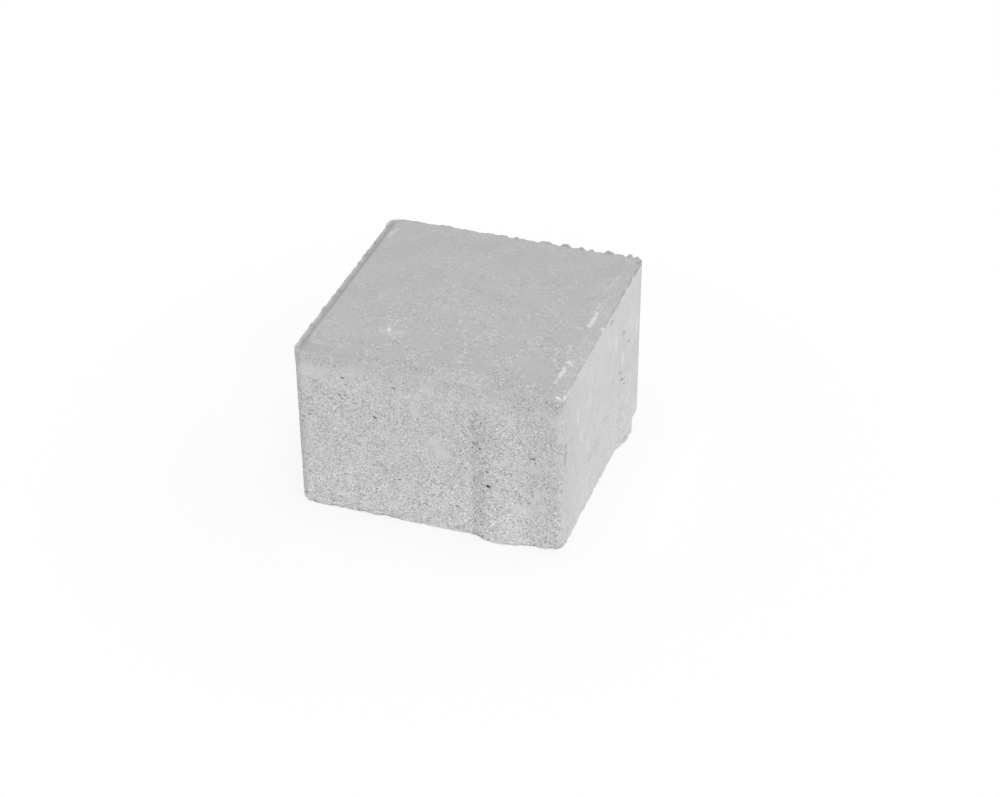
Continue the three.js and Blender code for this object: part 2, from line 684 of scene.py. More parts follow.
def keep_in_box(point):
    """The point, moved if need be to the box of the solid stone."""
    return [min(max(c, low), high) for c, low, high in zip(point, STONE_LOW, STONE_HIGH)]


def store(mesh, name, values):
    """Stores one number with each vertex, for the materials to read."""
    attribute = mesh.attributes.new(name, "FLOAT", "POINT")
    attribute.data.foreach_set("value", values)


def cover(place, start, end, half_width):
    """How well a mark covers a place: 1 on its line, 0.5 at its edge, 0 well off it."""
    run = end - start
    share = min(max((place - start).dot(run) / run.length_squared, 0.0), 1.0)
    away = (place - start - run * share).length
    return max(1.0 - away / (2.0 * half_width), 0.0)


def laid_covers(mesh, side, marks):
    """How well the marks of one side cover each vertex. Marks are (start, end, half
    width) in millimetres, and start and end are (along, height)."""
    facing, run = side_frame(side)
    lines = [(Vector(start), Vector(end), half_width) for start, end, half_width in marks]
    covers = []
    for vertex in mesh.vertices:
        place = Vector((vertex.co.dot(run), vertex.co.z)) / MM
        on_side = vertex.co.dot(facing) > HALF_SIDE - MARK_BAND
        covers.append(max(cover(place, *line) for line in lines) if on_side else 0.0)
    return covers


def link_object(name, data):
    """A new object in the scene."""
    thing = bpy.data.objects.new(name, data)
    bpy.context.scene.collection.objects.link(thing)
    return thing


# ---- Short calls for node trees ----


class Wiring:
    """Adds nodes to one tree and feeds their sockets with values or with links."""

    def __init__(self, tree):
        self.tree = tree

    def add(self, kind, inputs=None, **settings):
        node = self.tree.nodes.new("ShaderNode" + kind)
        for name, value in settings.items():
            setattr(node, name, value)
        for name, value in (inputs or {}).items():
            self.feed(node.inputs[name], value)
        return node

    def feed(self, socket, value):
        if isinstance(value, bpy.types.NodeSocket):
            self.tree.links.new(value, socket)
        else:
            socket.default_value = value

    def math(self, operation, *values, clamp=False):
        node = self.add("Math", operation=operation, use_clamp=clamp)
        for socket, value in zip(node.inputs, values):
            self.feed(socket, value)
        return node.outputs["Value"]

    def vector(self, operation, *values, output="Vector"):
        node = self.add("VectorMath", operation=operation)
        for socket, value in zip(node.inputs, values):
            self.feed(socket, value)
        return node.outputs[output]

    def scaled(self, vector, factor):
        """A vector times a number."""
        inputs = {0: vector, "Scale": factor}
        return self.add("VectorMath", inputs, operation="SCALE").outputs["Vector"]

    def product(self, first, *others):
        for value in others:
            first = self.math("MULTIPLY", first, value)
        return first

    def total(self, *terms):
        """The sum of some terms. Each is a value, or some to multiply, and its weight."""
        result = 0.0
        for *factors, weight in terms:
            result = self.math("MULTIPLY_ADD", self.product(*factors), weight, result)
        return result

    def highest(self, values):
        result = values[0]
        for value in values[1:]:
            result = self.math("MAXIMUM", result, value)
        return result

    def off_middle(self, value):
        """A value from 0 to 1, moved so that its middle is 0."""
        return self.math("SUBTRACT", value, 0.5)

    def ramp(self, value, start, end, low=0.0, high=1.0):
        """A clamped S-curve from low, where value is start, to high, where it is end."""
        inputs = {"Value": value, "From Min": start, "From Max": end}
        inputs |= {"To Min": low, "To Max": high}
        return self.add("MapRange", inputs, interpolation_type="SMOOTHSTEP").outputs["Result"]

    def window(self, value, start, full, fade, end):
        """1 from full to fade, easing to 0 at start and at end."""
        return self.product(self.ramp(value, start, full), self.ramp(value, end, fade))

    def noise_field(self, place, per_metre, detail, roughness=0.5):
        """The value and colour of a noise with so many ups and downs in a metre."""
        inputs = {"Vector": place, "Scale": per_metre, "Detail": detail, "Roughness": roughness}
        return self.add("TexNoise", inputs).outputs

    def shaken(self, place, field, distance):
        """The place, moved about by the colour of a noise."""
        centred = self.vector("SUBTRACT", field["Color"], (0.5, 0.5, 0.5))
        return self.vector("ADD", place, self.scaled(centred, distance))

    def stored(self, name):
        """A number that the mesh carries."""
        return self.add("Attribute", attribute_name=name).outputs["Fac"]

    def group(self, tree, **inputs):
        """Places a node group."""
        named = {socket_label(key): value for key, value in inputs.items()}
        return self.add("Group", named, node_tree=tree).outputs


def fresh_wiring(owner):
    """Wiring in the emptied node tree of a material or of the world."""
    owner.use_nodes = True
    owner.node_tree.nodes.clear()
    return Wiring(owner.node_tree)


def socket_label(name):
    """The name of a group's socket: Grain Size for grain_size."""
    return name.replace("_", " ").title()


def node_group(name, **inputs):
    """Makes a shader node group of a function that wires nodes. The inputs are the
    function's own, given here with their defaults. It returns its outputs by name, and
    each is a number."""

    def build(wire):
        tree = bpy.data.node_groups.new(name, "ShaderNodeTree")
        wiring = Wiring(tree)
        given = tree.nodes.new("NodeGroupInput").outputs
        for key, default in inputs.items():
            kind = "NodeSocketFloat" if isinstance(default, float) else "NodeSocketVector"
            label = socket_label(key)
            socket = tree.interface.new_socket(name=label, in_out="INPUT", socket_type=kind)
            socket.default_value = default
        results = wire(wiring, **{key: given[socket_label(key)] for key in inputs})
        leave = tree.nodes.new("NodeGroupOutput")
        for label, value in results.items():
            tree.interface.new_socket(name=label, in_out="OUTPUT", socket_type="NodeSocketFloat")
            wiring.feed(leave.inputs[label], value)
        return tree

    return build


# ---- Effects of concrete, each a node group, with sizes in metres ----

ORIGIN = (0.0, 0.0, 0.0)
TONE_SPREAD = 4.0  # brings a noise about 0 to tones from about -1 to 1
GAP_SOFTNESS = 0.12  # of noise, over which the lines between grains break off
PATCH_SOFTNESS = 0.06  # of noise, over which a patch of paste ends
BEND_SPACING = 1.2 * MM  # of the noise that makes pebbles less round
BEND_DISTANCE = 1.0 * MM
STROKE_CORE = 0.1  # share of a stroke's half width that is at full strength
BREAK_SOFTNESS = 0.15  # of noise, over which a stroke breaks off
WANDER_SPACING = 2.4 * MM
WANDER_SPREAD = 3.0  # brings its noise to about -1 to 1
BREAK_SPACING = 0.7 * MM

# A pebble, as shares of the spacing: its radius and how much that varies, how soft its
# edge is, and where its ring ends and is full
PEBBLE_RADIUS = 0.20
PEBBLE_VARIATION = 0.16
PEBBLE_EDGE = 0.06
RING_END = 0.12
RING_FULL = 0.02


@node_group("sand_grain", vector=ORIGIN, grain_size=1.0 * MM)
def sand_grain(wiring, vector, grain_size):
    """Packed grains of one size, each with a tint of its own."""
    per_metre = wiring.math("DIVIDE", 1.0, grain_size)
    bend = wiring.noise_field(vector, per_metre, detail=1.0)
    warped = wiring.shaken(vector, bend, grain_size)
    cells = wiring.add("TexVoronoi", {"Vector": warped, "Scale": per_metre}).outputs
    own = wiring.add("SeparateColor", {"Color": cells["Color"]}).outputs
    return {"Tint": own["Red"], "Height": wiring.math("SUBTRACT", 1.0, cells["Distance"])}


@node_group("pores", vector=ORIGIN, pore_size=1.0 * MM, edge=0.35, softness=0.06)
def pores(wiring, vector, pore_size, edge, softness):
    """Small dark holes, strewn where a fine noise is lowest."""
    per_metre = wiring.math("DIVIDE", 1.0, pore_size)
    field = wiring.noise_field(vector, per_metre, detail=2.0, roughness=0.6)
    full = wiring.math("SUBTRACT", edge, softness)
    return {"Mask": wiring.ramp(field["Fac"], full, edge, 1.0, 0.0)}


@node_group("cement_mottle", vector=ORIGIN, blotch_size=12.0 * MM)
def cement_mottle(wiring, vector, blotch_size):
    """Broad soft blotches, from about -1 to 1."""
    per_metre = wiring.math("DIVIDE", 1.0, blotch_size)
    field = wiring.noise_field(vector, per_metre, detail=4.0, roughness=0.55)
    return {"Tone": wiring.product(wiring.off_middle(field["Fac"]), TONE_SPREAD)}


@node_group("grain_gaps", vector=ORIGIN, grain_size=1.2 * MM, width=0.12, edge=0.5)
def grain_gaps(wiring, vector, grain_size, width, edge):
    """Broken dark lines where the sand grains meet."""
    per_metre = wiring.math("DIVIDE", 1.0, grain_size)
    field = wiring.noise_field(vector, per_metre, detail=2.0, roughness=0.6)
    lattice = {"Vector": wiring.shaken(vector, field, grain_size), "Scale": per_metre}
    cells = wiring.add("TexVoronoi", lattice, feature="DISTANCE_TO_EDGE").outputs
    line = wiring.ramp(cells["Distance"], 0.0, width, 1.0, 0.0)
    kept = wiring.ramp(field["Fac"], edge, wiring.math("ADD", edge, GAP_SOFTNESS))
    return {"Mask": wiring.product(line, kept)}


@node_group("pebbles", vector=ORIGIN, spacing=3.0 * MM, left_out=0.6)
def pebbles(wiring, vector, spacing, left_out):
    """Scattered round grains of coarse sand, each with a dark ring where it meets the mix."""
    bend = wiring.noise_field(vector, 1.0 / BEND_SPACING, detail=1.0)
    warped = wiring.shaken(vector, bend, BEND_DISTANCE)
    per_metre = wiring.math("DIVIDE", 1.0, spacing)
    cells = wiring.add("TexVoronoi", {"Vector": warped, "Scale": per_metre}).outputs
    own = wiring.add("SeparateColor", {"Color": cells["Color"]}).outputs
    radius = wiring.math("MULTIPLY_ADD", own["Green"], PEBBLE_VARIATION, PEBBLE_RADIUS)
    beyond = wiring.math("SUBTRACT", cells["Distance"], radius)
    kept = wiring.math("GREATER_THAN", own["Red"], left_out)
    face = wiring.ramp(beyond, 0.0, -PEBBLE_EDGE)
    ring = wiring.math("SUBTRACT", wiring.ramp(beyond, RING_END, RING_FULL), face)
    return {
        "Face": wiring.product(face, kept),
        "Ring": wiring.product(ring, kept),
        "Tint": wiring.off_middle(own["Blue"]),
    }


@node_group("smooth_patch", vector=ORIGIN, patch_size=6.0 * MM, edge=0.6)
def smooth_patch(wiring, vector, patch_size, edge):
    """Spots where cement paste has closed the surface."""
    per_metre = wiring.math("DIVIDE", 1.0, patch_size)
    field = wiring.noise_field(vector, per_metre, detail=3.0)
    above = wiring.math("ADD", edge, PATCH_SOFTNESS)
    return {"Mask": wiring.ramp(field["Fac"], edge, above)}


@node_group("mould_rub", vector=ORIGIN, streak_width=1.2 * MM, streak_length=8.0 * MM)
def mould_rub(wiring, vector, streak_width, streak_length):
    """Faint upright streaks, from about -1 to 1, where the mould slid along the face."""
    across = wiring.math("DIVIDE", 1.0, streak_width)
    along = wiring.math("DIVIDE", 1.0, streak_length)
    shrink = wiring.add("CombineXYZ", {"X": across, "Y": across, "Z": along}).outputs["Vector"]
    squeezed = wiring.vector("MULTIPLY", vector, shrink)
    field = wiring.noise_field(squeezed, 1.0, detail=3.0)
    return {"Tone": wiring.product(wiring.off_middle(field["Fac"]), TONE_SPREAD)}


@node_group("brush", vector=ORIGIN)
def brush(wiring, vector):
    """How marks wander off their lines, from about -1 to 1, and where they break up."""
    wander = wiring.noise_field(vector, 1.0 / WANDER_SPACING, detail=4.0)["Fac"]
    breaks = wiring.noise_field(vector, 1.0 / BREAK_SPACING, detail=3.0)["Fac"]
    spread = wiring.math("MULTIPLY_ADD", wander, WANDER_SPREAD, -WANDER_SPREAD / 2.0)
    return {"Wander": spread, "Breaks": breaks}


@node_group(
    "stroke",
    before=0.0,
    vector=ORIGIN,
    wander=0.0,
    breaks=1.0,
    start=ORIGIN,
    end=ORIGIN,
    half_width=1.0 * MM,
    broken=0.0,
)
def stroke(wiring, before, vector, wander, breaks, start, end, half_width, broken):
    """A mark along a straight line, with a wandering edge and, if broken, gaps in it. It
    is laid over the marks before it."""
    run = wiring.vector("SUBTRACT", end, start)
    reach = wiring.vector("SUBTRACT", vector, start)
    along = wiring.vector("DOT_PRODUCT", reach, run, output="Value")
    whole = wiring.vector("DOT_PRODUCT", run, run, output="Value")
    foot = wiring.scaled(run, wiring.math("DIVIDE", along, whole, clamp=True))
    away = wiring.vector("DISTANCE", reach, foot, output="Value")
    bent = wiring.math("MULTIPLY_ADD", wander, half_width, away)
    core = wiring.product(half_width, STROKE_CORE)
    unbroken = wiring.ramp(bent, core, half_width, 1.0, 0.0)
    low = wiring.math("SUBTRACT", broken, BREAK_SOFTNESS)
    high = wiring.math("ADD", broken, BREAK_SOFTNESS)
    mark = wiring.product(unbroken, wiring.ramp(breaks, low, high))
    return {"Mask": wiring.math("MAXIMUM", mark, before)}


# ---- Materials ----

DRY_ROUGHNESS = 0.94
WHITE = (1.0, 1.0, 1.0, 1.0)

# The press has packed the sand of the sides flatter, and the mould has drawn out what is
# rubbed: how many times closer both then lie along each axis
PACKING = (1.0, 1.0, 1.25)
DRAWING_OUT = (1.0, 0.45, 1.1)
GLINT_OFFSET = (0.1, 0.1, 0.1)  # so that the glints do not lie where the rubbed pits do

# How much light each part gives back. The cement is a neutral grey.
SIDE_ALBEDO = 0.640
FACE_ALBEDO = 0.500
# The bevel's lower albedo is painted shade.
BEVEL_ALBEDO = 0.455
LEDGE_ALBEDO = 0.500

# Painted shade: the sides are darker where their skin lies deeper, lighter where it lies
# shallower
USUAL_DEPTH = 0.18  # of the skin of the sides, in millimetres: deeper is darker
CLOSEST_SAND = 0.16  # the least open that the sand of the sides gets


def blank_material(name):
    """A material with one Principled shader, its wiring and the place on the stone."""
    material = bpy.data.materials.new(name)
    wiring = fresh_wiring(material)
    shader = wiring.add("BsdfPrincipled", {"Roughness": DRY_ROUGHNESS})
    output = wiring.add("OutputMaterial", {"Surface": shader.outputs["BSDF"]})
    output.is_active_output = True
    place = wiring.add("TexCoord").outputs["Object"]
    return material, wiring, shader, place


def finish_shader(wiring, shader, albedo, tone, relief_in_mm):
    """Feeds a shader the colour and the small relief of its surface."""
    wiring.feed(shader.inputs["Base Color"], wiring.math("ADD", tone, albedo))
    inputs = {"Strength": 1.0, "Distance": 1.0 * MM, "Height": relief_in_mm}
    wiring.feed(shader.inputs["Normal"], wiring.add("Bump", inputs).outputs["Normal"])


def pore_mask(wiring, place, size, edge):
    return wiring.group(pores, vector=place, pore_size=size, edge=edge)["Mask"]


def gap_mask(wiring, place, size, width, edge):
    gaps = wiring.group(grain_gaps, vector=place, grain_size=size, width=width, edge=edge)
    return gaps["Mask"]


def patch_mask(wiring, place, size, edge):
    return wiring.group(smooth_patch, vector=place, patch_size=size, edge=edge)["Mask"]


def mottle_tone(wiring, place, size):
    return wiring.group(cement_mottle, vector=place, blotch_size=size)["Tone"]


def zones_along(wiring, where, table):
    """The zones of a table by name, each from 0 at one place along an axis to 1 at
    another."""
    ramps = {name: wiring.ramp(where[axis], *ends) for name, (axis, *ends) in table.items()}
    return SimpleNamespace(**ramps)


def strokes(wiring, place, marks, broken=0.0, wobble=1.0):
    """One mask of several marks, each (start, end, half width) in millimetres."""
    unsteady = wiring.group(brush, vector=place)
    wander = wiring.product(unsteady["Wander"], wobble)
    mask = 0.0
    for start, end, half_width in marks:
        laid = wiring.group(
            stroke,
            before=mask,
            vector=place,
            wander=wander,
            breaks=unsteady["Breaks"],
            start=Vector(start) * MM,
            end=Vector(end) * MM,
            half_width=half_width * MM,
            broken=broken,
        )
        mask = laid["Mask"]
    return mask


def laid_marks(wiring, name, wander, softness, raggedness):
    """A mask of the marks that the mesh carries under one name, with a ragged edge."""
    ragged = wiring.math("MULTIPLY_ADD", wander, raggedness, wiring.stored(name))
    return wiring.ramp(ragged, 0.5 - softness, 0.5 + softness)


# Painted highlights on the front right corner of the rim, where its edges catch the light
RIM_NICKS = (
    ((49.3, -50.3, 67.6), (52.3, -51.3, 67.5), 0.70),
    ((52.1, -51.1, 67.6), (52.4, -48.4, 67.5), 0.95),
    ((52.4, -48.4, 67.5), (52.6, -42.6, 67.5), 0.45),
)

# Painted shade: short dark dashes in the pits and tears of the front, and three in the
# right-hand side
TEARS = (
    ((23.9, -54.0, 25.3), (25.4, -54.1, 25.8), 0.66),
    ((25.3, -54.2, 25.4), (26.4, -54.7, 22.8), 0.44),
    ((21.8, -53.7, 25.6), (23.3, -54.1, 25.5), 0.38),
    ((18.0, -52.2, 42.6), (19.2, -52.6, 42.0), 0.42),
    ((21.2, -53.2, 41.1), (21.7, -53.3, 40.9), 0.72),
    ((24.3, -54.1, 31.7), (24.9, -54.2, 31.6), 0.44),
    ((40.5, -52.2, 39.8), (42.3, -52.1, 39.9), 0.33),
    ((36.8, -53.3, 27.7), (37.4, -53.1, 27.5), 0.55),
    ((41.4, -52.3, 25.6), (41.0, -52.3, 22.6), 0.28),
    ((14.6, -52.3, 45.9), (16.4, -52.3, 45.3), 0.40),
    ((11.0, -52.0, 12.2), (12.4, -52.0, 11.8), 0.50),
    ((-11.6, -52.5, 19.0), (-10.6, -52.5, 18.8), 0.50),
    ((-12.9, -52.2, 59.9), (-11.9, -52.2, 59.1), 0.50),
    ((-13.3, -52.5, 62.8), (-13.0, -52.5, 62.3), 0.40),
    ((-20.6, -52.2, 45.3), (-19.7, -52.2, 44.9), 0.60),
    ((-32.7, -52.2, 60.1), (-31.9, -52.2, 60.0), 0.65),
    ((-31.6, -52.5, 57.4), (-31.0, -52.5, 57.4), 0.50),
    ((-34.7, -52.2, 52.9), (-33.5, -52.2, 52.2), 0.62),
    ((-33.3, -52.5, 51.0), (-32.5, -52.5, 50.8), 0.32),
    ((-31.9, -52.3, 52.8), (-31.3, -52.3, 52.6), 0.55),
    ((-24.6, -52.5, 51.9), (-24.0, -52.5, 51.5), 0.50),
    ((-44.0, -52.5, 57.0), (-42.8, -52.5, 56.8), 0.55),
    ((-44.0, -52.5, 57.0), (-43.4, -52.5, 55.8), 0.40),
    ((-46.6, -52.5, 48.1), (-45.1, -52.5, 49.0), 0.50),
    ((-49.6, -51.9, 39.4), (-48.5, -52.2, 39.3), 0.70),
    ((-46.2, -52.3, 41.4), (-45.6, -52.3, 41.1), 0.46),
    ((-47.9, -52.3, 15.2), (-47.2, -52.3, 14.8), 0.43),
    ((-35.6, -52.3, 5.9), (-35.0, -52.3, 5.7), 0.50),
    ((-50.5, -51.1, 3.7), (-49.4, -51.8, 3.9), 0.70),
    ((53.1, 19.9, 31.9), (53.4, 21.5, 31.6), 0.65),
    ((54.0, 21.5, 29.6), (54.1, 22.3, 29.3), 0.45),
    ((52.5, 6.8, 65.0), (52.5, 9.4, 64.9), 0.65),
)


def side_sand(wiring, place):
    """The grains, gaps and pores of the sides, from fine to coarse."""
    packed = wiring.vector("MULTIPLY", place, PACKING)
    sand = SimpleNamespace()
    sand.fine = wiring.group(sand_grain, vector=packed, grain_size=0.34 * MM)
    sand.coarse = wiring.group(sand_grain, vector=packed, grain_size=1.3 * MM)
    sand.gaps = gap_mask(wiring, packed, size=0.68 * MM, width=0.12, edge=0.49)
    sand.dashes = gap_mask(wiring, packed, size=1.7 * MM, width=0.16, edge=0.60)
    sand.pores = pore_mask(wiring, packed, size=0.8 * MM, edge=0.34)
    sand.pits = pore_mask(wiring, packed, size=1.8 * MM, edge=0.30)
    sand.pebbles = wiring.group(pebbles, vector=place, spacing=3.2 * MM, left_out=0.55)
    sand.flecks = wiring.ramp(sand.fine["Tint"], 0.80, 1.0)
    sand.mottle = mottle_tone(wiring, place, 9.0 * MM)
    sand.looseness = mottle_tone(wiring, place, 4.0 * MM)
    sand.depth = wiring.stored("depth")
    return sand


def side_rub(wiring, place):
    """What the mould leaves where it rubs: streaks, and pits and glints drawn out."""
    drawn = wiring.vector("MULTIPLY", place, DRAWING_OUT)
    offset = wiring.vector("ADD", drawn, GLINT_OFFSET)
    rub = SimpleNamespace()
    rub.pits = pore_mask(wiring, drawn, size=1.3 * MM, edge=0.27)
    rub.glints = pore_mask(wiring, offset, size=1.5 * MM, edge=0.29)
    rub.tone = wiring.group(mould_rub, vector=place)["Tone"]
    return rub


def side_marks(wiring, place):
    """The marks on the sides that have places of their own."""
    wander = wiring.group(brush, vector=place)["Wander"]
    marks = SimpleNamespace()
    marks.smears = laid_marks(wiring, "paste", wander, softness=0.25, raggedness=0.30)
    marks.streaks = laid_marks(wiring, "rub_streak", wander, softness=0.45, raggedness=0.14)
    marks.specks = laid_marks(wiring, "rub_speck", wander, softness=0.35, raggedness=0.22)
    marks.smudges = laid_marks(wiring, "rub_smudge", wander, softness=0.45, raggedness=0.22)
    marks.tears = strokes(wiring, place, TEARS, broken=0.25, wobble=0.5)
    marks.nicks = strokes(wiring, place, RIM_NICKS)
    return marks


# The zones of the sides where the finish changes. Each is 0 at the first place along its
# axis and 1 at the second.
SIDE_ZONES = {
    "under_rim": ("Z", HEIGHT - PRESSED_BAND, HEIGHT - 4.0 * MM),
    "upper_part": ("Z", 50.0 * MM, 60.0 * MM),
    "near_foot": ("Z", 36.0 * MM, 0.0),
    "top_band": ("Z", HEIGHT - 8.0 * MM, HEIGHT - 3.0 * MM),
    "burr": ("Z", LEDGE_HEIGHT - 1.2 * MM, LEDGE_HEIGHT - 0.4 * MM),
    "foot": ("Z", 1.5 * MM, 0.5 * MM),
    "below_nib_top": ("Z", 60.0 * MM, 52.0 * MM),
    "low_down": ("Z", 24.0 * MM, 10.0 * MM),
    "near_end": ("X", 28.0 * MM, 40.0 * MM),
    "left_half": ("X", 2.0 * MM, -34.0 * MM),
    "far_end": ("X", -38.0 * MM, -51.0 * MM),
    "on_left": ("X", -HALF_SIDE + 1.5 * MM, -HALF_SIDE + 0.7 * MM),
    "on_right": ("X", HALF_SIDE - 0.8 * MM, HALF_SIDE - 0.3 * MM),
    "on_front": ("Y", -HALF_SIDE + 1.5 * MM, -HALF_SIDE + 1.0 * MM),
    "by_near_corner": ("Y", -24.0 * MM, -50.0 * MM),
}


def past_right_corner(wiring, where, looseness):
    """1 beyond the front right corner, from a ragged edge that drifts with height."""
    drift = wiring.ramp(where["Z"], 54.0 * MM, 66.0 * MM, 0.0, -3.0 * MM)
    round_corner = wiring.total((where["X"], 1.0), (where["Y"], 1.0), (drift, 1.0))
    ragged = wiring.math("MULTIPLY_ADD", looseness, 2.5 * MM, round_corner)
    return wiring.ramp(ragged, 0.3 * MM, 6.5 * MM)


def side_zones(wiring, place, looseness):
    """The zones of the table and those that are made of several, from 0 to 1."""
    where = wiring.add("SeparateXYZ", {"Vector": place}).outputs
    x, z = where["X"], where["Z"]
    zones = zones_along(wiring, where, SIDE_ZONES)
    zones.left_burr = wiring.product(zones.on_left, zones.burr)
    zones.rubbed = wiring.product(zones.on_right, past_right_corner(wiring, where, looseness))

    # The front nib: its torn left flank, whose lower part gets painted shade, the looser sand
    # over its upper end, and the foot of its right flank, which gets painted light
    left_flank = wiring.window(x, 17.3 * MM, 18.1 * MM, 21.0 * MM, 25.0 * MM)
    zones.groove = wiring.product(left_flank, zones.below_nib_top, zones.on_front)
    head = wiring.window(x, 17.3 * MM, 18.1 * MM, 28.0 * MM, 33.0 * MM)
    head_height = wiring.window(z, 36.0 * MM, 44.0 * MM, 52.0 * MM, 60.0 * MM)
    zones.nib_head = wiring.product(head, head_height, zones.on_front)
    right_flank = wiring.window(x, 30.0 * MM, 32.5 * MM, 37.0 * MM, 40.0 * MM)
    zones.pale_flank = wiring.product(right_flank, zones.low_down, zones.on_front)
    return zones


def side_openness(wiring, sand, zones, closed):
    """How open the sand is: about 1 on the open front, and less where it is closer."""
    change = wiring.total(
        (sand.looseness, 0.16),
        (zones.under_rim, -0.12),
        (zones.upper_part, -0.20),
        (zones.under_rim, zones.near_end, 0.26),
        (zones.burr, -0.08),
        (zones.left_burr, -0.50),
        (zones.far_end, -0.12),
        (zones.near_foot, 0.25),
        (zones.near_end, -0.08),
        (zones.groove, 0.15),
        (closed, -0.80),
        (zones.rubbed, -0.58),
    )
    return wiring.math("MAXIMUM", wiring.math("ADD", change, 1.0), CLOSEST_SAND)


def side_grain(wiring, sand, openness):
    """The light and dark of the sand where it is that open."""
    grain = wiring.total(
        (wiring.off_middle(sand.fine["Tint"]), 0.34),
        (sand.flecks, 0.11),
        (wiring.off_middle(sand.coarse["Tint"]), 0.05),
        (sand.gaps, -0.35),
        (sand.pores, -0.30),
        (sand.pits, -0.39),
        (sand.dashes, -0.25),
        (sand.pebbles["Ring"], -0.10),
    )
    return wiring.product(grain, openness)


def hollow_mask(wiring, sand, place):
    """Where painted shade darkens the insides of the hollows, less so in the broken edge round
    the foot.
    """
    height = wiring.add("SeparateXYZ", {"Vector": place}).outputs["Z"]
    ragged_depth = wiring.math("MULTIPLY_ADD", sand.looseness, 0.06, sand.depth)
    deep = wiring.ramp(ragged_depth, 0.42, 0.58)  # millimetres
    above_foot = wiring.ramp(height, 1.2 * MM, 2.4 * MM, 0.3, 1.0)
    return wiring.product(deep, above_foot)


def side_tone(wiring, sand, rub, marks, zones, hollows, grain):
    """How much lighter or darker than its albedo each place on the sides is."""
    return wiring.total(
        (sand.mottle, 0.027),
        (rub.tone, zones.rubbed, 0.014),
        (rub.pits, zones.rubbed, -0.13),
        (rub.glints, zones.rubbed, 0.15),
        # painted shade in the deeper skin, painted light on the shallower
        (wiring.math("SUBTRACT", USUAL_DEPTH, sand.depth), 0.20),
        (sand.pebbles["Face"], sand.pebbles["Tint"], 0.10),
        # painted shade in the pits
        (marks.tears, -0.35),
        # painted shade inside the hollows
        (hollows, -0.25),
        (zones.under_rim, -0.015),
        (zones.under_rim, zones.on_front, -0.060),
        (zones.top_band, -0.022),
        (zones.top_band, zones.near_end, 0.030),
        (zones.near_foot, 0.085),
        (zones.near_end, -0.048),
        (zones.left_half, 0.008),
        # painted light on the shaded left burr
        (zones.left_burr, 0.06),
        # painted light along the shaded foot
        (zones.foot, 0.06),
        # painted shade on the lower part of the nib's left flank
        (zones.groove, zones.near_foot, -0.045),
        (zones.nib_head, -0.030),
        # painted light on the foot of the nib's right flank
        (zones.pale_flank, 0.028),
        (marks.smears, 0.005),
        (marks.streaks, 0.08),
        (marks.specks, -0.13),
        (marks.smudges, -0.05),
        # painted highlights on the rim's front right corner
        (marks.nicks, 0.20),
        (zones.rubbed, zones.near_foot, -0.035),
        (zones.rubbed, zones.by_near_corner, -0.034),
        (grain, 0.96),
    )


def mould_side_material():
    """The sides: open sandy concrete, closer in a band under the rim and closest on the
    right-hand side."""
    material, wiring, shader, place = blank_material("mould_side")
    sand = side_sand(wiring, place)
    rub = side_rub(wiring, place)
    marks = side_marks(wiring, place)
    patches = patch_mask(wiring, place, size=5.0 * MM, edge=0.60)
    closed = wiring.highest([patches, marks.smears, sand.pebbles["Face"]])
    zones = side_zones(wiring, place, sand.looseness)
    openness = side_openness(wiring, sand, zones, closed)
    grain = side_grain(wiring, sand, openness)
    hollows = hollow_mask(wiring, sand, place)
    tone = side_tone(wiring, sand, rub, marks, zones, hollows, grain)
    relief = wiring.total(
        (sand.fine["Height"], 0.08),
        (sand.coarse["Height"], 0.16),
        (sand.gaps, -0.10),
        (sand.pores, -0.15),
        (sand.pits, -0.30),
    )
    finish_shader(wiring, shader, SIDE_ALBEDO, tone, wiring.product(relief, openness))
    return material


# Pale scuffs on the crown, in millimetres: start, end, half width
CROWN_SCUFFS = (
    ((47.4, 5.6, 69.9), (47.6, 0.0, 69.9), 1.1),
    ((47.6, 0.0, 69.9), (47.5, -4.6, 69.9), 1.5),
    ((48.3, -30.2, 69.9), (47.5, -30.9, 69.9), 1.6),
    ((47.3, -34.6, 69.9), (47.4, -41.0, 69.9), 1.2),
    ((47.4, -41.0, 69.9), (47.0, -45.4, 70.0), 0.8),
    ((-22.2, -29.8, 70.0), (-21.6, -31.2, 70.0), 0.9),
    ((51.6, -1.0, 67.5), (51.8, -2.0, 67.5), 1.1),
    ((52.5, -2.8, 67.5), (52.5, -3.8, 67.5), 0.7),
)

# Fainter ones out on the wearing face and along the bevel
FACE_SCUFFS = (
    ((-24.8, -32.4, 70.0), (-22.8, -31.6, 70.0), 1.6),
    ((-22.2, -29.2, 70.0), (-20.6, -32.6, 70.0), 2.2),
    ((-19.0, -32.0, 70.0), (-16.4, -30.2, 70.0), 1.6),
    ((-38.2, -34.6, 70.0), (-37.4, -34.4, 70.0), 0.8),
    ((-38.4, -42.4, 70.0), (-37.6, -42.2, 70.0), 1.0),
    ((8.2, -30.6, 70.0), (8.6, -31.8, 70.0), 1.2),
    ((0.8, -16.6, 70.0), (1.4, -17.4, 70.0), 1.0),
    ((-45.0, -46.5, 70.0), (-41.5, -47.0, 70.0), 1.4),
    ((-36.0, -44.5, 70.0), (-34.5, -47.0, 70.0), 1.2),
    ((7.0, -43.4, 70.0), (14.0, -41.6, 70.0), 0.8),
    ((43.2, -6.6, 70.0), (45.4, -7.3, 70.0), 1.8),
    ((40.1, -29.6, 70.0), (45.3, -33.3, 70.0), 0.7),
    ((47.4, 33.0, 69.8), (46.8, 25.0, 69.9), 0.9),
    ((46.8, 12.0, 70.0), (46.6, 6.0, 70.0), 1.0),
    ((-48.6, -51.6, 67.6), (-45.2, -52.2, 67.5), 0.6),
    ((-46.0, 40.8, 70.0), (-46.9, 34.0, 70.0), 1.5),
    ((45.2, -19.6, 70.0), (45.8, -24.0, 70.0), 1.0),
)

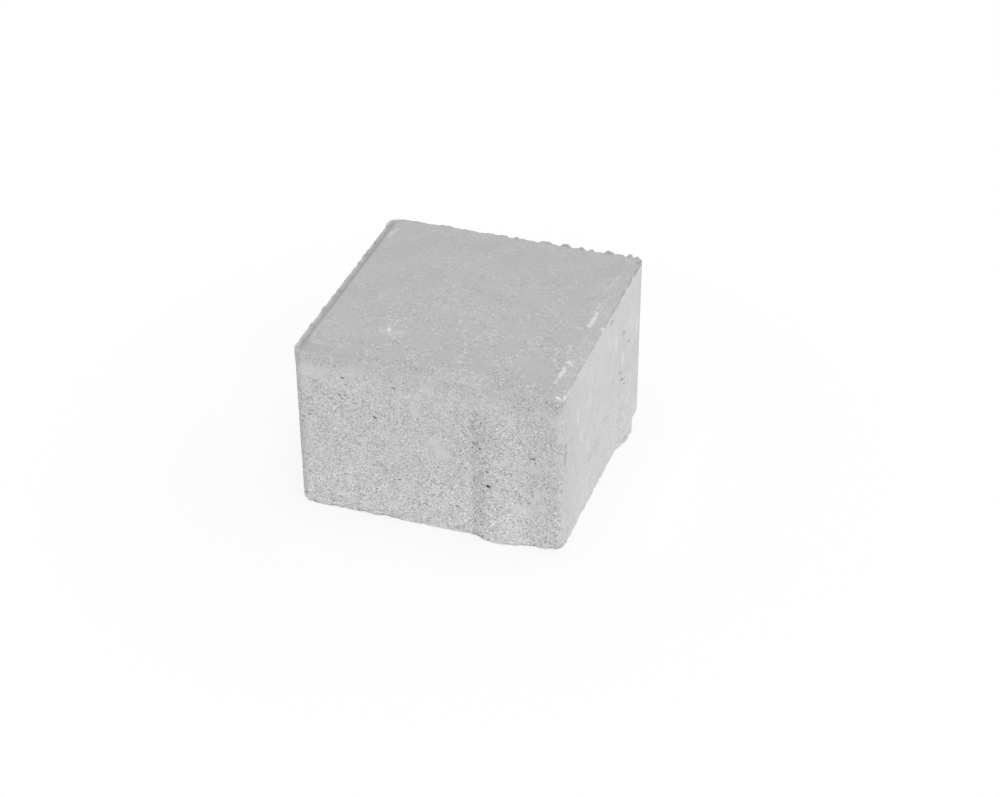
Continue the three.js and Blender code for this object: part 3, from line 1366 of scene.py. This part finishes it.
# Painted shade in a shallow crease that runs over the wearing face
FACE_CREASES = (
    ((-2.8, -38.7, 70.0), (5.7, -43.0, 70.0), 0.5),
    ((5.7, -43.0, 70.0), (13.7, -41.7, 70.0), 0.5),
)

# Painted shade: a thin dark line along the outer rim, where the inner side of the burr is in
# shade
RIM_CRACK = (((52.35, 49.0, 67.5), (52.35, 9.0, 67.5), 0.35),)


def crown_sand(wiring, place):
    """The fine grain of the wearing face, and its broad blotches."""
    sand = SimpleNamespace()
    sand.fine = wiring.group(sand_grain, vector=place, grain_size=0.50 * MM)
    sand.coarse = wiring.group(sand_grain, vector=place, grain_size=1.4 * MM)
    sand.pores = pore_mask(wiring, place, size=0.9 * MM, edge=0.30)
    sand.mottle = mottle_tone(wiring, place, 14.0 * MM)
    sand.flecks = wiring.ramp(sand.fine["Tint"], 0.72, 1.0)
    sand.specks = wiring.ramp(sand.fine["Tint"], 0.15, 0.0)
    return sand


def crown_marks(wiring, place):
    """The marks on the crown that have places of their own."""
    marks = SimpleNamespace()
    marks.nicks = strokes(wiring, place, RIM_NICKS)
    marks.scuffs = strokes(wiring, place, CROWN_SCUFFS, broken=0.30, wobble=0.5)
    marks.creases = strokes(wiring, place, FACE_CREASES, broken=0.40)
    marks.faint = strokes(wiring, place, FACE_SCUFFS, broken=0.44)
    marks.crack = strokes(wiring, place, RIM_CRACK, broken=0.45)
    return marks


# The zones of the crown, given as those of the sides are. The last one also says what it
# is at its two places.
CROWN_ZONES = {
    "bevel": ("Z", HEIGHT - 0.06 * MM, HEIGHT - 0.30 * MM),
    "ledge": ("Z", LEDGE_HEIGHT + 0.3 * MM, LEDGE_HEIGHT),
    "front": ("Y", -HALF_SIDE + 6.0 * MM, -HALF_SIDE + 3.0 * MM),
    "front_strip": ("Y", -HALF_SIDE + 14.0 * MM, -HALF_SIDE + 8.0 * MM),
    "back_part": ("Y", -10.0 * MM, 30.0 * MM),
    "back_rim": ("Y", HALF_SIDE - 3.0 * MM, HALF_SIDE - 2.0 * MM),
    "left_burr": ("X", -51.3 * MM, -51.9 * MM),
    "left_close": ("X", -20.0 * MM, -40.0 * MM),
    "front_open": ("Y", HALF_SIDE, -HALF_SIDE, 0.8, 1.5),
}


def crown_zones(wiring, place):
    """The zones of the table and two stretches along X."""
    where = wiring.add("SeparateXYZ", {"Vector": place}).outputs
    x = where["X"]
    zones = zones_along(wiring, where, CROWN_ZONES)
    stretch = wiring.window(x, -2.0 * MM, 4.0 * MM, 22.0 * MM, 28.0 * MM)
    zones.pale_stretch = wiring.product(stretch, zones.front)
    zones.left_groove = wiring.window(x, -51.2 * MM, -50.7 * MM, -50.3 * MM, -49.8 * MM)
    return zones


def crown_openness(wiring, place, zones):
    """How open the grain is: most at the front, less on the left and in smooth patches."""
    patches = patch_mask(wiring, place, size=8.0 * MM, edge=0.50)
    on_left = wiring.ramp(zones.left_close, 0.0, 1.0, 1.0, 0.65)
    in_patches = wiring.ramp(patches, 0.0, 1.0, 1.0, 0.35)
    return wiring.product(zones.front_open, on_left, in_patches)


def crown_grain(wiring, sand, openness):
    """The light and dark of the crown's grain where it is that open."""
    grain = wiring.total(
        (wiring.off_middle(sand.fine["Tint"]), 0.05),
        (wiring.off_middle(sand.coarse["Tint"]), 0.04),
        (sand.flecks, 0.08),
        (sand.specks, -0.06),
        (sand.pores, -0.10),
    )
    return wiring.product(grain, openness)


def wearing_face_material():
    """The wearing face, its bevel and the ledge: close, smooth and finely grained."""
    material, wiring, shader, place = blank_material("wearing_face")
    sand = crown_sand(wiring, place)
    marks = crown_marks(wiring, place)
    zones = crown_zones(wiring, place)
    openness = crown_openness(wiring, place, zones)
    tone = wiring.total(
        (crown_grain(wiring, sand, openness), 1.0),
        (sand.mottle, 0.023),
        (zones.back_part, -0.008),
        (marks.scuffs, 0.20),
        # painted highlights on the rim's front right corner
        (marks.nicks, 0.23),
        # painted shade in the crease
        (marks.creases, -0.05),
        (marks.faint, 0.11),
        # painted shade along the right rim
        (marks.crack, -0.12),
        # painted shade on the bevel
        (zones.bevel, BEVEL_ALBEDO - FACE_ALBEDO),
        (zones.front_strip, -0.010),
        # painted light on the front part of the bevel
        (zones.bevel, zones.front, 0.015),
        (zones.pale_stretch, 0.035),
        # painted light in the shaded groove along the left of the crown
        (zones.left_groove, 0.025),
        # painted light on the shaded outer band of the left burr
        (zones.left_burr, 0.112),
        (zones.ledge, LEDGE_ALBEDO - BEVEL_ALBEDO),
        # painted light on the shaded burr along the back rim
        (zones.back_rim, 0.09),
    )
    heights = ((sand.fine["Height"], 0.02), (sand.coarse["Height"], 0.02), (sand.pores, -0.05))
    relief = wiring.product(wiring.total(*heights), openness)
    finish_shader(wiring, shader, FACE_ALBEDO, tone, relief)
    return material


def underside_material():
    """The underside: even sandy concrete that took the face of the pallet."""
    material, wiring, shader, place = blank_material("underside")
    fine = wiring.group(sand_grain, vector=place, grain_size=0.6 * MM)
    holes = pore_mask(wiring, place, size=1.4 * MM, edge=0.36)
    mottle = mottle_tone(wiring, place, 16.0 * MM)
    grain = wiring.off_middle(fine["Tint"])
    tone = wiring.total((grain, 0.18), (holes, -0.20), (mottle, 0.03))
    relief = wiring.total((fine["Height"], 0.10), (holes, -0.20))
    finish_shader(wiring, shader, SIDE_ALBEDO, tone, relief)
    return material


# ---- Floor, light and camera ----

FLOOR_SIZE = 12.0
FLOOR_ALBEDO = 0.88
SHADOW_SHARE = 0.22  # how much of the floor's own shading the camera sees by the stone
SHADOW_NEAR = 80.0 * MM  # from the stone's middle, where that share starts to fade
SHADOW_FAR = 200.0 * MM
WORLD_FILL = 0.42


def seen_directly(wiring):
    """1 for rays from the camera and for mirrored and transmitted ones."""
    path = wiring.add("LightPath").outputs
    return wiring.highest(
        [path["Is Camera Ray"], path["Is Glossy Ray"], path["Is Transmission Ray"]]
    )


def floor_material():
    """Pale and matt, and seen as white but for the soft shadow round the stone."""
    material = bpy.data.materials.new("pale_floor")
    wiring = fresh_wiring(material)
    seen = seen_directly(wiring)
    paleness = wiring.ramp(seen, 0.0, 1.0, FLOOR_ALBEDO, 1.0)
    matt = wiring.add("BsdfDiffuse", {"Color": paleness})
    white = wiring.add("Emission", {"Color": WHITE, "Strength": 1.0})
    place = wiring.add("TexCoord").outputs["Object"]
    from_middle = wiring.vector("LENGTH", place, output="Value")
    whiteness = wiring.ramp(from_middle, SHADOW_NEAR, SHADOW_FAR, 1.0 - SHADOW_SHARE, 1.0)
    mix = wiring.add("MixShader", {"Fac": wiring.product(seen, whiteness)})
    wiring.feed(mix.inputs[1], matt.outputs["BSDF"])
    wiring.feed(mix.inputs[2], white.outputs["Emission"])
    wiring.add("OutputMaterial", {"Surface": mix.outputs["Shader"]})
    return material


def make_floor():
    """The surface that the stone stands on."""
    half = FLOOR_SIZE / 2
    mesh = bpy.data.meshes.new("floor")
    corners = [(-half, -half, 0.0), (half, -half, 0.0), (half, half, 0.0), (-half, half, 0.0)]
    mesh.from_pydata(corners, [], [(0, 1, 2, 3)])
    mesh.materials.append(floor_material())
    floor = link_object("floor", mesh)


def make_world():
    """Even light from all round, and white where the camera sees past the floor."""
    world = bpy.data.worlds.new("studio")
    wiring = fresh_wiring(world)
    strength = wiring.ramp(seen_directly(wiring), 0.0, 1.0, WORLD_FILL, 1.0)
    white = wiring.add("Background", {"Color": WHITE, "Strength": strength})
    wiring.add("OutputWorld", {"Surface": white.outputs["Background"]})
    bpy.context.scene.world = world


def direction(azimuth, elevation):
    """The way from the stone to something, from angles in degrees. Azimuth 0 is in front
    of the stone and 90 is to its right."""
    turn = math.radians(azimuth)
    rise = math.radians(elevation)
    level = math.cos(rise)
    return Vector((math.sin(turn) * level, -math.cos(turn) * level, math.sin(rise)))


@dataclass
class SoftBox:
    """A square lamp that faces the stone. Its level is the light that it gives a surface
    turned to it, where an even white world of strength 1 gives 1."""

    name: str
    azimuth: float
    elevation: float
    distance: float
    size: float
    level: float


SOFT_BOXES = (
    SoftBox("overhead_box", azimuth=0.0, elevation=90.0, distance=1.6, size=1.2, level=0.47),
    SoftBox("front_box", azimuth=33.0, elevation=15.0, distance=1.8, size=0.8, level=0.35),
    SoftBox("rear_box", azimuth=142.0, elevation=6.0, distance=1.8, size=0.8, level=0.39),
)


def make_soft_box(box):
    lamp = bpy.data.lights.new(box.name, "AREA")
    lamp.shape = "SQUARE"
    lamp.size = box.size
    lamp.energy = box.level * (math.pi * box.distance) ** 2
    light = link_object(box.name, lamp)
    way = direction(box.azimuth, box.elevation)
    middle = Vector((0.0, 0.0, HEIGHT / 2))
    light.location = middle + way * box.distance
    light.rotation_mode = "QUATERNION"
    light.rotation_quaternion = way.to_track_quat("Z", "Y")


# The camera stands to the right of the front and looks down on the stone
CAMERA_AZIMUTH = 19.16  # degrees, as for the soft boxes
CAMERA_ELEVATION = 33.80
CAMERA_ROLL = math.radians(-0.36)
CAMERA_PLACE = Vector((265.90, -734.63, 547.60)) * MM
CAMERA_LENS = 87.26  # for Blender's sensor, 36 mm wide
CAMERA_NEAR = 0.05  # metres: it sees nothing closer than this, or past the far limit
CAMERA_FAR = 50.0


def make_camera():
    data = bpy.data.cameras.new("camera")
    data.lens = CAMERA_LENS
    data.sensor_fit = "HORIZONTAL"
    data.clip_start = CAMERA_NEAR
    data.clip_end = CAMERA_FAR
    camera = link_object("camera", data)
    camera.location = CAMERA_PLACE
    back = direction(CAMERA_AZIMUTH, CAMERA_ELEVATION)
    right = direction(CAMERA_AZIMUTH + 90.0, 0.0)
    up = back.cross(right)
    rolled_right = right * math.cos(CAMERA_ROLL) + up * math.sin(CAMERA_ROLL)
    rolled_up = up * math.cos(CAMERA_ROLL) - right * math.sin(CAMERA_ROLL)
    axes = Matrix((rolled_right, rolled_up, back)).transposed()
    camera.rotation_mode = "QUATERNION"
    camera.rotation_quaternion = axes.to_quaternion()
    bpy.context.scene.camera = camera


# ---- The scene ----

make_camera()
make_world()
make_floor()
for soft_box in SOFT_BOXES:
    make_soft_box(soft_box)

stone = make_stone()
for finish in (underside_material(), mould_side_material(), wearing_face_material()):
    stone.data.materials.append(finish)
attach(stone, "root")
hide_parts("paving_stone")

bpy.context.scene.view_settings.view_transform = "Standard"
